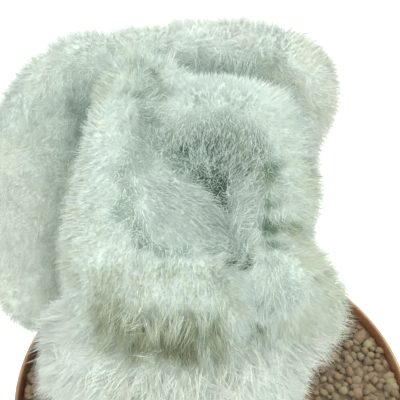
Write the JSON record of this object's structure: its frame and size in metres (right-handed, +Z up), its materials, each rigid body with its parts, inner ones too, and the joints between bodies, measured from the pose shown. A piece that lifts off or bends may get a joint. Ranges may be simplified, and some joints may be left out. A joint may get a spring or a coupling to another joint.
{
  "type": "potted old man cactus",
  "caption": "Crested old man cactus, a folded fan of stem under long white wool, standing in a round tapered terracotta plastic pot filled with fine brown gravel.",
  "frame": {"origin": "middle of the pot's flat underside", "axes": "+Z straight up through the pot, +X to the right and +Y to the back, with the crest's open hollow and lower roll facing -Y"},
  "size_m": [0.1579, 0.14, 0.2339],
  "materials": {
    "pot_plastic": "satin terracotta brown plastic, slightly glossy on the lip",
    "gravel": "rough fine gravel in brown, tan, pinkish and a few yellowish stones",
    "wool": "dense soft white wool with a cool green-grey cast over a grey-green stem"
  },
  "bodies": {
    "root": {"pot": "pot_plastic", "substrate": "gravel", "cactus": "wool"}
  },
  "joints": []
}
